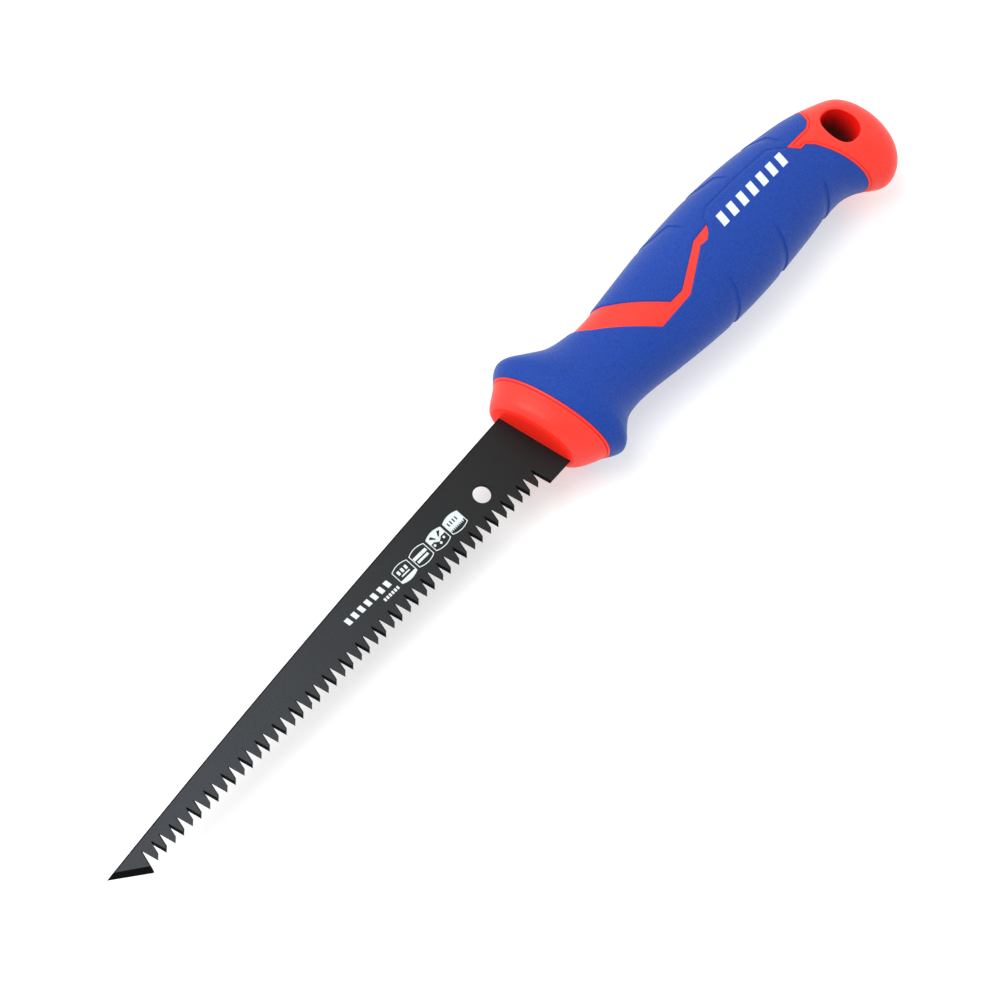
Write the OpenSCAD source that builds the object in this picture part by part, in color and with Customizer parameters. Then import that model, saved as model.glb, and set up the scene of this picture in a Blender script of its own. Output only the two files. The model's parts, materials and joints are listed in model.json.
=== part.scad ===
// Drywall (jab) saw: a toothed steel blade with a hidden tang, moulded into a hard
// plastic handle body that carries a soft over-moulded grip sleeve.
//
// The saw lies on its side. +X runs along the tooth line from the nose to the butt,
// +Y from the teeth to the back of the blade, +Z is square to the blade, and the
// origin is the bottom centre of the bounding box.

/* [Blade] */
// Distance from the collar's front face to the tip of the nose
blade_reach = 168.4; // [165:0.1:185]
// Thickness of the steel
blade_thickness = 1; // [0.8:0.1:1.4]
// Width of the blade at the collar, from the tooth line to the back
blade_width = 21.4; // [20:0.1:22]
// Height of the nose tip above the tooth line
nose_height = 5.3; // [4.5:0.1:8]
// How far the back edge bows out from a straight line
back_bow = 1.1; // [0.2:0.1:2]
// How far the nose corner and the heel stand below the tooth line
heel_drop = 1.6; // [1:0.1:2]
// Width of the ground bevel along the chisel nose
nose_bevel = 1.7; // [1:0.1:2.5]

/* [Teeth] */
// Teeth along the edge
tooth_count = 47; // [20:1:48]
// Teeth per inch
teeth_per_inch = 8; // [8:1:12]
// Distance from the last tooth to the collar
tooth_setback = 9.5; // [8:0.1:12]
// Slant of each ground gullet through the steel, in degrees
fleam = 24; // [0:1:30]

/* [Holes and tang] */
// Diameter of the hole in the blade
blade_hole_d = 5.1; // [3:0.1:6]
// Distance of that hole from the collar
blade_hole_x = 21.9; // [14:0.1:30]
// Height of that hole above the tooth line
blade_hole_y = 9.2; // [8:0.1:12]
// Length of the tang inside the handle
tang_length = 72; // [50:1:90]
// Diameter of the tang's two locking holes
lock_hole_d = 6; // [4:0.5:8]

/* [Handle] */
// Length of the handle
handle_length = 144.7; // [138:0.1:155]
// Thickness of the handle, across the flat of the blade
handle_thickness = 27.2; // [25:0.1:32]
// Width of the guard at the front of the grip
guard_width = 41; // [38:0.1:44]
// Width of the neck behind the guard
neck_width = 26.8; // [25:0.1:30]
// Width of the grip at the palm
palm_width = 33.9; // [31:0.1:36]
// Width of the waist in front of the butt
waist_width = 28; // [26:0.1:31]
// Thickness of the soft sleeve
sleeve_thickness = 2; // [1.5:0.1:2.5]
// Length of the hard collar in front of the sleeve
collar_length = 8.4; // [8:0.1:8.8]

/* [Hang hole] */
// Diameter of the hang hole
hang_hole_d = 9.6; // [8:0.1:11]
// Distance from the collar face to the hang hole
hang_hole_x = 129.5; // [127:0.1:130]
// Radius of the rounded rim on each side
hang_rim = 1.6; // [0.8:0.1:1.8]

/* [Smoothness] */
// Points around each cross-section of the handle, so many that a flat lies underneath
ring_points = 26; // [22:4:38]
// Cross-sections between two stations of the handle
ring_steps = 2; // [1:1:3]

/* [Hidden] */

tooth_pitch = 25.4 / teeth_per_inch;
tooth_run = (tooth_count - 1) * tooth_pitch;
first_tooth = -tooth_setback - tooth_run;
gullet_depth = 4.6;
gullet_back = 1.12;          // from a tooth's tip to the gullet in front of it
facet_length = 1.12;         // how far the ground facet at each tip runs back
facet_height = 1;
flank_slope = 0.25;          // how far a tooth's flank leans, for each mm of depth
below = 4;                   // how far the cutters reach past an edge
edge_land = 0.05;            // half the thickness left along the nose's sharp edge
nose_tip = [-blade_reach, nose_height];
nose_corner = [first_tooth - tooth_pitch - 0.1, -heel_drop];
heel_corner = [first_tooth + tooth_run + 3, -heel_drop];
tang_start = [4, 18.5, 3];   // distance behind the collar, then back and belly edges
tang_taper = 4;
tang_end = [15.5, 5.5];
lock_holes = [18, 56];

axis_y = 10.5;               // height of the handle's middle above the tooth line
squareness = 2.15;           // 2 is an ellipse, more is squarer
guard_rake = -0.20;          // lean of the guard's sections, as a slope
butt_rake = 0.27;
rake_fades = [2.4, 44];      // where the guard's lean ends
rake_grows = [112, 132];     // where the butt's lean begins
dome_start = 133.6;
dome_rings = 7;
flat_height = pow(cos(180 / ring_points), 2 / squareness);
half_thickness = handle_thickness / 2;
hang_hole_y = 11.4;

// Stations along the handle: distance from the collar's face, middle, half width
// and half thickness of the cross-section there.
stations = [
    [0,     11.0, 0.300 * guard_width,                      0.62 * half_thickness],
    [1.5,   10.6, 0.350 * guard_width,                      0.78 * half_thickness],
    [5,     10.6, 0.400 * guard_width,                      0.845 * half_thickness],
    [7.7,   10.85, 0.434 * guard_width,                     0.86 * half_thickness],
    [10.2,  11.2, 0.478 * guard_width,                      0.93 * half_thickness],
    [12.4,  11.4, 0.500 * guard_width,                      0.98 * half_thickness],
    [14.4,  11.5, 0.487 * guard_width,                      1.00 * half_thickness],
    [17,    11.4, 0.440 * guard_width,                      0.98 * half_thickness],
    [22,    11.0, neck_width / 2 + 1.4,                     0.92 * half_thickness],
    [28,    10.8, neck_width / 2 + 0.1,                     0.87 * half_thickness],
    [35,    10.6, neck_width / 2,                           0.86 * half_thickness],
    [46,    10.7, 0.66 * neck_width / 2 + 0.34 * palm_width / 2, 0.90 * half_thickness],
    [60,    11.0, 0.24 * neck_width / 2 + 0.76 * palm_width / 2, 0.96 * half_thickness],
    [74,    11.4, palm_width / 2,                           0.99 * half_thickness],
    [88,    12.0, palm_width / 2 - 0.1,                     1.00 * half_thickness],
    [101,   12.4, 0.66 * palm_width / 2 + 0.34 * waist_width / 2, 0.985 * half_thickness],
    [112,   12.5, 0.25 * palm_width / 2 + 0.75 * waist_width / 2, 0.94 * half_thickness],
    [121,   11.7, waist_width / 2,                          0.90 * half_thickness],
    [129,   9.25, waist_width / 2 - 0.15,                   0.87 * half_thickness],
    [137,   5.4,  waist_width / 2 + 0.25,                   0.85 * half_thickness],
    [handle_length, 1.4, waist_width / 2 - 0.8,             0.85 * half_thickness]
];
last_station = len(stations) - 1;

// Outline, seen from above, of the window that shows the hard stripe. It starts and
// ends past the back of the handle, so that the stripe wraps over it.
stripe = [
    [28.6, 40], [28.6, 24.5], [31.8, 19.2], [45.3, 5.1], [58.1, 6.0], [71.1, 13.9],
    [73.6, 13.5], [75.4, 14.6], [76.9, 16.9], [70.4, 16.5], [56.8, 8.6], [52.3, 8.6],
    [37.2, 24.3], [37.2, 40]
];
// Outline, seen from above, of the butt cap, with its prong along the grip.
butt_front = [[126.6, 40], [126.4, 23.4], [123.6, 18.9], [121.2, 17.4], [112.1, 17.1],
              [114.5, 14.0], [116.8, 14.1], [118.7, 12.0]];
butt_belly = [126.2, -5.4];
butt_back = [[126.4, -40], [200, -40], [200, 40]];
butt_bulge = 0.6;            // how far the border between prong and belly bows
clear_of_grip = 60;          // a distance past the sides of the handle

function mix(a, b, t) = a + (b - a) * t;
function ease(t) = let (u = min(max(t, 0), 1)) u * u * (3 - 2 * u);
function curve_points(p, q, bulge, steps) = let (
        d = (q - p) / norm(q - p),
        side = [-d[1], d[0]]
    ) [for (i = [1 : steps]) let (t = i / steps) mix(p, q, t) + side * bulge * 4 * t * (1 - t)];

// Slope of the curve through the stations, for one column of the table.
function slope(i, column) = let (
        a = max(i - 1, 0),
        b = min(i + 1, last_station)
    ) (stations[b][column] - stations[a][column]) / (stations[b][0] - stations[a][0]);

// Value of one column at t between station i and the next, on a smooth curve.
function between(i, t, column) = let (
        span = stations[i + 1][0] - stations[i][0],
        a = stations[i][column],
        b = stations[i + 1][column]
    ) (1 + 2 * t) * pow(1 - t, 2) * a + t * pow(1 - t, 2) * span * slope(i, column)
        + t * t * (3 - 2 * t) * b + t * t * (t - 1) * span * slope(i + 1, column);

function station_before(s) = max([for (i = [0 : last_station - 1]) if (stations[i][0] <= s) i]);
function profile(s, column) = let (
        i = station_before(s),
        span = stations[i + 1][0] - stations[i][0]
    ) between(i, (s - stations[i][0]) / span, column);

// The butt closes in an elliptic dome.
function closing(s) = let (w = max(s - dome_start, 0) / (handle_length - dome_start))
    sqrt(max(1 - w * w, 0));
function rake(s) = guard_rake * (1 - ease((s - rake_fades[0]) / (rake_fades[1] - rake_fades[0])))
    + butt_rake * min(max((s - rake_grows[0]) / (rake_grows[1] - rake_grows[0]), 0), 1);
function signed_pow(v, e) = sign(v) * pow(abs(v), e);
// A point of the plane where the collar ends and the sleeve begins.
function collar_edge(y) = [collar_length + rake(collar_length) * (y - axis_y), y];

// One cross-section of the handle, set in from the skin by inset. Its lowest and
// highest sides are flats that stand at the full depth.
function section(s, inset) = let (
        closed = closing(s),
        middle = profile(s, 1),
        width = profile(s, 2) * closed - inset,
        depth = profile(s, 3) * closed - inset
    ) [for (i = [0 : ring_points - 1]) let (
        a = 360 * i / ring_points,
        y = middle + width * signed_pow(cos(a), 2 / squareness),
        z = depth / flat_height * signed_pow(sin(a), 2 / squareness)
    ) [s + rake(s) * (y - axis_y), y, z]];

grip_places = [for (i = [0 : last_station - 1]) for (k = [0 : ring_steps - 1])
    let (s = mix(stations[i][0], stations[i + 1][0], k / ring_steps)) if (s < dome_start) s];
dome_places = [for (i = [0 : dome_rings - 1])
    mix(dome_start, handle_length, sin(88 * i / (dome_rings - 1)))];
skin_rings = [for (s = concat(grip_places, dome_places)) section(s, 0)];
core_rings = [for (s = grip_places) if (s > collar_length / 2 && s < dome_start - 4)
    section(s, sleeve_thickness)];
skin_points = [for (r = skin_rings) for (p = r) p];
x_middle = (max([for (p = skin_points) p[0]]) - blade_reach) / 2;
y_middle = (max([for (p = skin_points) p[1]]) + min([for (p = skin_points) p[1]])) / 2;
z_middle = max([for (p = skin_points) p[2]]);

// A closed solid over a row of rings that all have the same number of points.
module loft(rings) {
    n = ring_points;
    last = len(rings) - 1;
    sides = [for (k = [0 : last - 1]) for (i = [0 : n - 1])
        let (j = (i + 1) % n, a = k * n, b = (k + 1) * n)
        for (face = [[a + i, b + j, a + j], [a + i, b + i, b + j]]) face];
    front = [for (i = [1 : n - 2]) [0, i, i + 1]];
    back = [for (i = [1 : n - 2]) [last * n, last * n + i + 1, last * n + i]];
    polyhedron([for (r = rings) for (p = r) p], concat(sides, front, back));
}

module slab(outline) {
    linear_extrude(2 * handle_thickness, center = true) polygon(outline);
}

// Everything of the handle's skin that is hard plastic.
module hard_zones() {
    slab([[-clear_of_grip, -clear_of_grip], collar_edge(-clear_of_grip),
          collar_edge(clear_of_grip), [-clear_of_grip, clear_of_grip]]);
    slab(stripe);
    slab(concat(butt_front, curve_points(butt_front[7], butt_belly, butt_bulge, 6), butt_back));
}

// The ground gullet in front of tooth i. Its slant changes side from tooth to tooth.
module gullet(i) {
    tip = first_tooth + i * tooth_pitch;
    slant = i % 2 == 0 ? -fleam : fleam;
    bottom = [-gullet_back, gullet_depth];
    last_tip = [facet_length - tooth_pitch, facet_height];
    in_front = i == 0 ?
        [[-gullet_back - 0.3 - flank_slope * (gullet_depth + below), -below]] :
        [[-tooth_pitch - below, -below], [-tooth_pitch, 0], last_tip];
    behind = [[flank_slope * below, -below]];
    outline = concat(in_front, [bottom], behind);
    translate([tip, 0, 0]) rotate([0, slant, 0])
        linear_extrude(4 * blade_thickness, center = true)
            polygon([for (p = outline) [p[0] * cos(fleam), p[1]]]);
}

// What is ground away from one side of the chisel nose.
module nose_grind() {
    edge = nose_corner - nose_tip;
    half = blade_thickness / 2;
    translate([nose_tip[0], nose_tip[1], 0])
        rotate([0, 0, atan2(edge[1], edge[0])])
            translate([-below, 0, 0]) rotate([90, 0, 90])
                linear_extrude(norm(edge) + 2 * below)
                    polygon([[-below, edge_land], [0, edge_land], [nose_bevel, half],
                             [nose_bevel, below], [-below, below]]);
}

// The steel before its teeth, nose and hole are cut, with the locking holes in its tang.
module blade_blank() {
    back_end = [tang_start[0], blade_width];
    shoulder = tang_start[0] + tang_taper;
    outline = concat(
        [heel_corner, nose_corner, nose_tip],
        curve_points(nose_tip, back_end, back_bow, 16),
        [[shoulder, tang_start[1]], [tang_length, tang_end[0]],
         [tang_length, tang_end[1]], [shoulder, tang_start[2]], [tang_start[0], -1.1]]
    );
    difference() {
        linear_extrude(blade_thickness, center = true) polygon(outline);
        for (x = lock_holes) translate([x, axis_y, 0])
            cylinder(d = lock_hole_d, h = 4 * blade_thickness, center = true, $fn = 48);
    }
}

// The hang hole, with a rounded rim on each side.
module hang_hole() {
    bore = hang_hole_d / 2;
    rim_start = profile(hang_hole_x, 3) - hang_rim;
    translate([hang_hole_x, hang_hole_y, 0]) {
        cylinder(r = bore, h = 2 * handle_thickness, center = true, $fn = 64);
        for (side = [0, 1]) mirror([0, 0, side]) translate([0, 0, rim_start])
            rotate_extrude($fn = 64) difference() {
                square([bore + hang_rim, 4 * hang_rim]);
                translate([bore + hang_rim, 0]) circle(hang_rim, $fn = 48);
            }
    }
}

// Moves the saw from its working axes to its own frame.
module in_frame() {
    translate([-x_middle, -y_middle, z_middle]) children();
}

module blade() {
    color([0.20, 0.21, 0.23]) in_frame() difference() {
        blade_blank();
        for (i = [0 : tooth_count]) gullet(i);
        for (side = [0, 1]) mirror([0, 0, side]) nose_grind();
        translate([-blade_hole_x, blade_hole_y, 0])
            cylinder(d = blade_hole_d, h = 4 * blade_thickness, center = true, $fn = 64);
    }
}

module handle_body() {
    color([0.90, 0.20, 0.15]) in_frame() difference() {
        union() {
            loft(core_rings);
            intersection() {
                loft(skin_rings);
                hard_zones();
            }
        }
        blade_blank();
        hang_hole();
    }
}

module grip_sleeve() {
    color([0.16, 0.28, 0.66]) in_frame() difference() {
        loft(skin_rings);
        loft(core_rings);
        hard_zones();
    }
}

blade();
handle_body();
grip_sleeve();
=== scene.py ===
"""Drywall (jab) saw: a coated steel blade, a hard red handle body and a soft blue sleeve.

Shapes are worked out in the saw's working axes, in millimetres: x from the collar's
front face towards the butt, y from the tooth line towards the back, z from the
blade's middle plane. place() turns them into the frame's own metres.
"""

import json
import math

import bmesh
import bpy
import numpy as np
from mathutils import Matrix, Vector
from mathutils.geometry import delaunay_2d_cdt
from mathutils.kdtree import KDTree

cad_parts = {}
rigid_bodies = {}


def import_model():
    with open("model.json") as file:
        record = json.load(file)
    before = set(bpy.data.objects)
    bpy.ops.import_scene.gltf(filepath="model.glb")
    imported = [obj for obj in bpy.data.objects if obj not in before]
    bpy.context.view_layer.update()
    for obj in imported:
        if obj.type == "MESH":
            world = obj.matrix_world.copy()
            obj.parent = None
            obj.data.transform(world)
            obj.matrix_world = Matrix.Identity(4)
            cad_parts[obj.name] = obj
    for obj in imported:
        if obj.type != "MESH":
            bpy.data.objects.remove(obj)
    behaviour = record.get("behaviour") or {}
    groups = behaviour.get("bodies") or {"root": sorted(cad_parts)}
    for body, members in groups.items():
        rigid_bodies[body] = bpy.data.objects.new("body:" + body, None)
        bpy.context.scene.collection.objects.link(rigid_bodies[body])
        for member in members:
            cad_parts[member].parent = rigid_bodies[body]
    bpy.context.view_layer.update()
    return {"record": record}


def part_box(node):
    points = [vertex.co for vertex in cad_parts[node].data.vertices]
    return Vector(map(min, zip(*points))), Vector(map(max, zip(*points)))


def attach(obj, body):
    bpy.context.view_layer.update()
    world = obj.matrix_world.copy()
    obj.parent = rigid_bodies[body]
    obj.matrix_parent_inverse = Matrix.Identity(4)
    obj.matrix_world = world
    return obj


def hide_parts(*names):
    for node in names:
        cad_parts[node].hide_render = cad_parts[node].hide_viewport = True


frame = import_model()

MM = 0.001
TOP = math.pi / 2            # the skin's angle at the top, from 0 at the back to pi at the belly


# ---- Sizes, in millimetres, from the frame and its record

def mount(name):
    return next(m for m in frame["record"]["mounts"] if m["name"] == name)


HANG_HOLE = (129.5, 11.4)
ORIGIN = Vector(mount("hang_hole")["pos_m"]) - Vector((*HANG_HOLE, 0)) * MM


def working(point):
    """A point of the frame in working axes."""
    return (Vector(point) - ORIGIN) / MM


BLADE_LOW, BLADE_HIGH = [working(p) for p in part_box("blade")]
GRIP_LOW, GRIP_HIGH = [working(p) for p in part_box("grip_sleeve")]
BLADE_HOLE = working(mount("blade_hole")["pos_m"])
BLADE_HOLE_RADIUS = mount("blade_hole")["dims"]["r_mm"]
HANG_RADIUS = mount("hang_hole")["dims"]["r_mm"]

# The handle's skin: the same sections as the CAD's, but smooth
GUARD = GRIP_HIGH.y - GRIP_LOW.y
HALF_THICKNESS = (GRIP_HIGH.z - GRIP_LOW.z) / 2
NECK, PALM, WAIST = 26.8 / 2, 33.9 / 2, 28.0 / 2
HANDLE_LENGTH = 144.7
COLLAR_LENGTH = 8.4
SLEEVE_THICKNESS = 2.0
AXIS_Y = 10.5
SQUARENESS = 2.15
GUARD_RAKE, BUTT_RAKE = -0.20, 0.27
RAKE_FADES, RAKE_GROWS = (2.4, 44.0), (112.0, 132.0)
DOME_START = 133.6
DOME_DEPTH = HANDLE_LENGTH - DOME_START
DOME_ARC = 12.0              # length of the skin's own coordinate for each radian of the dome
DOME_SPLIT = 0.6             # how far round the dome, in radians, the free mesh reaches

# Sections of the handle: distance from the collar's face, middle, half width, and half
# thickness as a share of HALF_THICKNESS
STATIONS = np.array([
    (0, 11.0, 0.300 * GUARD, 0.62),
    (1.5, 10.6, 0.350 * GUARD, 0.78),
    (5, 10.6, 0.400 * GUARD, 0.845),
    (7.7, 10.85, 0.434 * GUARD, 0.86),
    (10.2, 11.2, 0.478 * GUARD, 0.93),
    (12.4, 11.4, 0.500 * GUARD, 0.98),
    (14.4, 11.5, 0.487 * GUARD, 1.00),
    (17, 11.4, 0.440 * GUARD, 0.98),
    (22, 11.0, NECK + 1.4, 0.92),
    (28, 10.8, NECK + 0.1, 0.87),
    (35, 10.6, NECK, 0.86),
    (46, 10.7, 0.66 * NECK + 0.34 * PALM, 0.90),
    (60, 11.0, 0.24 * NECK + 0.76 * PALM, 0.96),
    (74, 11.4, PALM, 0.99),
    (88, 12.0, PALM - 0.1, 1.00),
    (101, 12.4, 0.66 * PALM + 0.34 * WAIST, 0.985),
    (112, 12.5, 0.25 * PALM + 0.75 * WAIST, 0.94),
    (121, 11.7, WAIST, 0.90),
    (129, 9.25, WAIST - 0.15, 0.87),
    (137, 5.4, WAIST + 0.25, 0.85),
    (HANDLE_LENGTH, 1.4, WAIST - 0.8, 0.85),
])

# Borders between the soft sleeve and the hard body, seen from above
STRIPE = [(28.6, 40), (28.6, 24.5), (31.8, 19.2), (45.6, 5.4), (58.1, 6.25), (71.0, 14.1), (73.6, 13.9),
          (75.5, 15.1), (77.2, 17.2), (70.85, 16.4), (57.2, 8.65), (52.3, 8.6), (41.5, 20.3), (39.0, 24.0),
          (39.0, 40)]
BUTT_FRONT = [(126.6, 40), (126.4, 23.4), (123.6, 18.9), (121.2, 17.4), (112.1, 17.1),
              (114.5, 14.0), (116.8, 14.1), (118.7, 12.0)]
BUTT_BELLY = (126.2, -5.4)
BUTT_BULGE = 0.6

# Raised scales on the grip: each line is a scale's free edge, and the scale rises on its butt side
BELLY_SCALES = [
    [(70.5, 3.7), (70.0, -1.3), (68.5, -5.2), (64.0, -8.5)],
    [(91.7, 4.3), (91.2, -0.4), (90.2, -4.2), (86.0, -8.5)],
    [(112.9, 4.2), (112.6, 1.4), (111.0, -2.2), (107.0, -6.5)],
]
BACK_SCALES = [
    [(58.5, 29.0), (65.7, 26.4), (71.5, 25.6), (72.8, 20.6)],
    [(80.5, 31.0), (87.3, 27.4), (92.4, 26.4), (93.8, 22.7)],
    [(103.0, 30.5), (109.0, 26.5), (112.4, 24.1), (113.3, 19.0)],
]
SCALE_STEP = (0.36, 0.25)     # belly, back
SCALE_LIP = (0.10, 0.06)
SCALE_RAMP = 3.4             # how far in front of its edge the skin dips
SCALE_WALL = 0.13            # half the width of the step itself
SCALE_FADE = 2.6             # how soon a scale's edge rises at its inner end
CREASE = [(77.2, 17.2), (78.2, 19.2), (81.8, 21.0), (93.1, 21.2), (107.5, 20.9), (112.1, 17.1)]
CREASE_DEPTH = 0.32
CREASE_WIDTH = 0.6

STRIPE_DEPTH = 0.38          # how far the stripe lies below the sleeve
STRIPE_EDGE = 0.55           # radius of the sleeve's edge along the stripe
BORDER_EDGE = 0.30           # radius of its edge at the collar and the butt
RIB_HEIGHT = 0.05            # the raised rib where the sleeve's mould shuts off
RIB_WIDTH = 0.55
RIB_GROOVE = 0.28            # the small groove behind it
RIB_SIDE = 0.2               # how wide the slope at the side of the rib and the groove is

FACE_ROUND = 1.3             # how far the collar's front edge is rounded on both sides
RIM_WIDTH = 0.8
RIM_DEPTH = 0.9
HANG_HALF_LENGTH = 5.9       # the hang hole is longer across the handle than its round bore
HANG_SQUARENESS = 2.3

SKIN_START = FACE_ROUND      # the free mesh runs from here
SKIN_END = DOME_START + DOME_SPLIT * DOME_ARC
MEAN_RADIUS = 15.5           # turns the skin's angle into a length for meshing
GRID = 0.72                  # spacing of the free points
ALONG_LINES = 0.4            # spacing of points along a border or a scale's edge
RING = 101                   # points round the upper half of a section
# Rows of points beside each kind of line, to the left of its way where positive
SCALE_ROWS = (-0.9, -0.4, -0.14, 0, 0.14, 0.4, 0.9)
CREASE_ROWS = (-0.6, -0.3, 0, 0.3, 0.6)
STRIPE_ROWS = (-0.6, -0.36, -0.18, -0.06, 0.3)
BORDER_ROWS = (-0.32, -0.18, -0.06, 0.25, 0.44, 0.54, 0.65, 0.76, 0.87, 1.0)
SHARP = 38                   # degrees from which an edge is shaded sharp


# ---- The handle's skin

def ease(t):
    t = np.clip(t, 0, 1)
    return t * t * (3 - 2 * t)


def bend(v):
    return np.sign(v) * np.abs(v) ** (2 / SQUARENESS)


def profile(s, column):
    """One column of STATIONS at s, on the smooth curve through them."""
    at, value = STATIONS[:, 0], STATIONS[:, column]
    index = np.arange(len(at))
    before, after = np.maximum(index - 1, 0), np.minimum(index + 1, len(at) - 1)
    slope = (value[after] - value[before]) / (at[after] - at[before])
    i = np.clip(np.searchsorted(at, s, side="right") - 1, 0, len(at) - 2)
    span = at[i + 1] - at[i]
    t = (s - at[i]) / span
    return ((1 + 2 * t) * (1 - t) ** 2 * value[i] + t * (1 - t) ** 2 * span * slope[i]
            + t * t * (3 - 2 * t) * value[i + 1] + t * t * (t - 1) * span * slope[i + 1])


def rake(s):
    fades = ease((s - RAKE_FADES[0]) / (RAKE_FADES[1] - RAKE_FADES[0]))
    grows = np.clip((s - RAKE_GROWS[0]) / (RAKE_GROWS[1] - RAKE_GROWS[0]), 0, 1)
    return GUARD_RAKE * (1 - fades) + BUTT_RAKE * grows


def along(u):
    """Distance along the handle, and how open its section still is, at u."""
    turn = np.clip((u - DOME_START) / DOME_ARC, 0, TOP)
    s = np.where(u < DOME_START, u, DOME_START + DOME_DEPTH * np.sin(turn))
    return s, np.cos(turn)


def skin(u, a, inset=0.0):
    """Points of the handle's upper skin, at u along it and the angle a round it."""
    u, a = np.broadcast_arrays(np.asarray(u, float), np.asarray(a, float))
    s, open_ = along(u)
    y = profile(s, 1) + (profile(s, 2) * open_ - inset) * bend(np.cos(a))
    z = (profile(s, 3) * HALF_THICKNESS * open_ - inset) * bend(np.sin(a))
    return np.stack([s + rake(s) * (y - AXIS_Y), y, z], axis=-1)


def skin_slopes(u, a):
    """How the skin moves for a step along u and round a, and its outward normal."""
    step = 1e-3
    a = np.clip(a, 3 * step, math.pi - 3 * step)
    by_u = (skin(u + step, a) - skin(u - step, a)) / (2 * step)
    by_a = (skin(u, a + step) - skin(u, a - step)) / (2 * step)
    normal = np.cross(by_a, by_u)
    normal /= np.linalg.norm(normal, axis=-1, keepdims=True)
    return by_u, by_a, normal


def from_above(x, y):
    """(u, a, share) of the upper skin under x, y. A share over 1 is past its edge."""
    x, y = np.broadcast_arrays(np.asarray(x, float), np.asarray(y, float))
    low, high = np.full(x.shape, -8.0), np.full(x.shape, HANDLE_LENGTH - 1e-6)
    for _ in range(50):
        s = (low + high) / 2
        short = s + rake(s) * (y - AXIS_Y) < x
        low, high = np.where(short, s, low), np.where(short, high, s)
    turn = np.arcsin(np.clip((s - DOME_START) / DOME_DEPTH, 0, 1))
    u = np.where(s < DOME_START, s, DOME_START + DOME_ARC * turn)
    share = (y - profile(s, 1)) / (profile(s, 2) * np.cos(turn))
    cosine = np.sign(share) * np.minimum(np.abs(share), 1) ** (SQUARENESS / 2)
    return u, np.arccos(cosine), share


# ---- Lines on the skin

def bulged(p, q, bulge, steps):
    """Points from p to q on a shallow arc that stands bulge off the straight line."""
    p, q = np.array(p, float), np.array(q, float)
    side = np.array([p[1] - q[1], q[0] - p[0]]) / np.linalg.norm(q - p)
    t = np.linspace(0, 1, steps + 1)[:, None]
    return p + (q - p) * t + side * bulge * 4 * t * (1 - t)


def crossing(inside, outside):
    """Where the way from inside to outside leaves the skin's upper side, as a share of it."""
    low, high = 0.0, 1.0
    for _ in range(40):
        t = (low + high) / 2
        x, y = inside + (outside - inside) * t
        low, high = (t, high) if abs(from_above(x, y)[2]) <= 1 else (low, t)
    return low


def trace(corners, step):
    """A line over the upper skin through corners seen from above, as (u, a) points.
    It is cut where it leaves the upper side, and has even steps between corners."""
    corners = np.array(corners, float)
    off = np.abs(from_above(corners[:, 0], corners[:, 1])[2]) > 1
    line = []
    for i in range(len(corners) - 1):
        p, q = corners[i], corners[i + 1]
        if off[i] and off[i + 1]:
            continue
        fine = np.linspace(0, 1, 200)
        if off[i + 1]:
            fine = crossing(p, q) * (1 - (1 - fine) ** 2)
        elif off[i]:
            fine = 1 - crossing(q, p) * (1 - fine ** 2)
        points = p + (q - p) * fine[:, None]
        u, a, _ = from_above(points[:, 0], points[:, 1])
        run = np.concatenate([[0], np.cumsum(np.linalg.norm(np.diff(skin(u, a), axis=0), axis=1))])
        even = np.linspace(0, run[-1], max(2, round(run[-1] / step) + 1))
        piece = np.stack([np.interp(even, run, u), np.interp(even, run, a)], axis=1)
        line.append(piece if not line else piece[1:])
    line = np.concatenate(line)
    line[line[:, 1] < 1e-3, 1] = 0
    line[line[:, 1] > math.pi - 1e-3, 1] = math.pi
    return line


def beside(line, distance):
    """The line moved sideways over the skin, to the left of its way seen from above."""
    points = skin(line[:, 0], line[:, 1])
    way = np.gradient(points, axis=0)
    by_u, by_a, normal = skin_slopes(line[:, 0], line[:, 1])
    side = np.cross(normal, way)
    side /= np.linalg.norm(side, axis=1, keepdims=True)
    uu, ua, aa = (by_u ** 2).sum(1), (by_u * by_a).sum(1), (by_a ** 2).sum(1)
    ru, ra = (by_u * side).sum(1), (by_a * side).sum(1)
    det = uu * aa - ua ** 2
    move = np.stack([(aa * ru - ua * ra) / det, (uu * ra - ua * ru) / det], axis=1)
    return line + move * distance


class Near:
    """Distance from points of the skin to a line on it."""

    def __init__(self, line):
        fine = np.linspace(0, len(line) - 1, 5 * len(line))
        index = np.arange(len(line))
        u, a = np.interp(fine, index, line[:, 0]), np.interp(fine, index, line[:, 1])
        self.points = skin(u, a)
        way = np.gradient(self.points, axis=0)
        side = np.cross(skin_slopes(u, a)[2], way)
        self.side = side / np.linalg.norm(side, axis=1, keepdims=True)
        lengths = np.linalg.norm(np.diff(self.points, axis=0), axis=1)
        self.run = np.concatenate([[0], np.cumsum(lengths)])
        self.tree = KDTree(len(self.points))
        for i, p in enumerate(self.points):
            self.tree.insert(p, i)
        self.tree.balance()

    def __call__(self, points):
        """(distance, which side, distance run along the line) for each point."""
        found = [self.tree.find(p) for p in points]
        index = np.array([f[1] for f in found])
        distance = np.array([f[2] for f in found])
        side = np.sign(((points - self.points[index]) * self.side[index]).sum(1))
        return distance, side, self.run[index]


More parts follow.
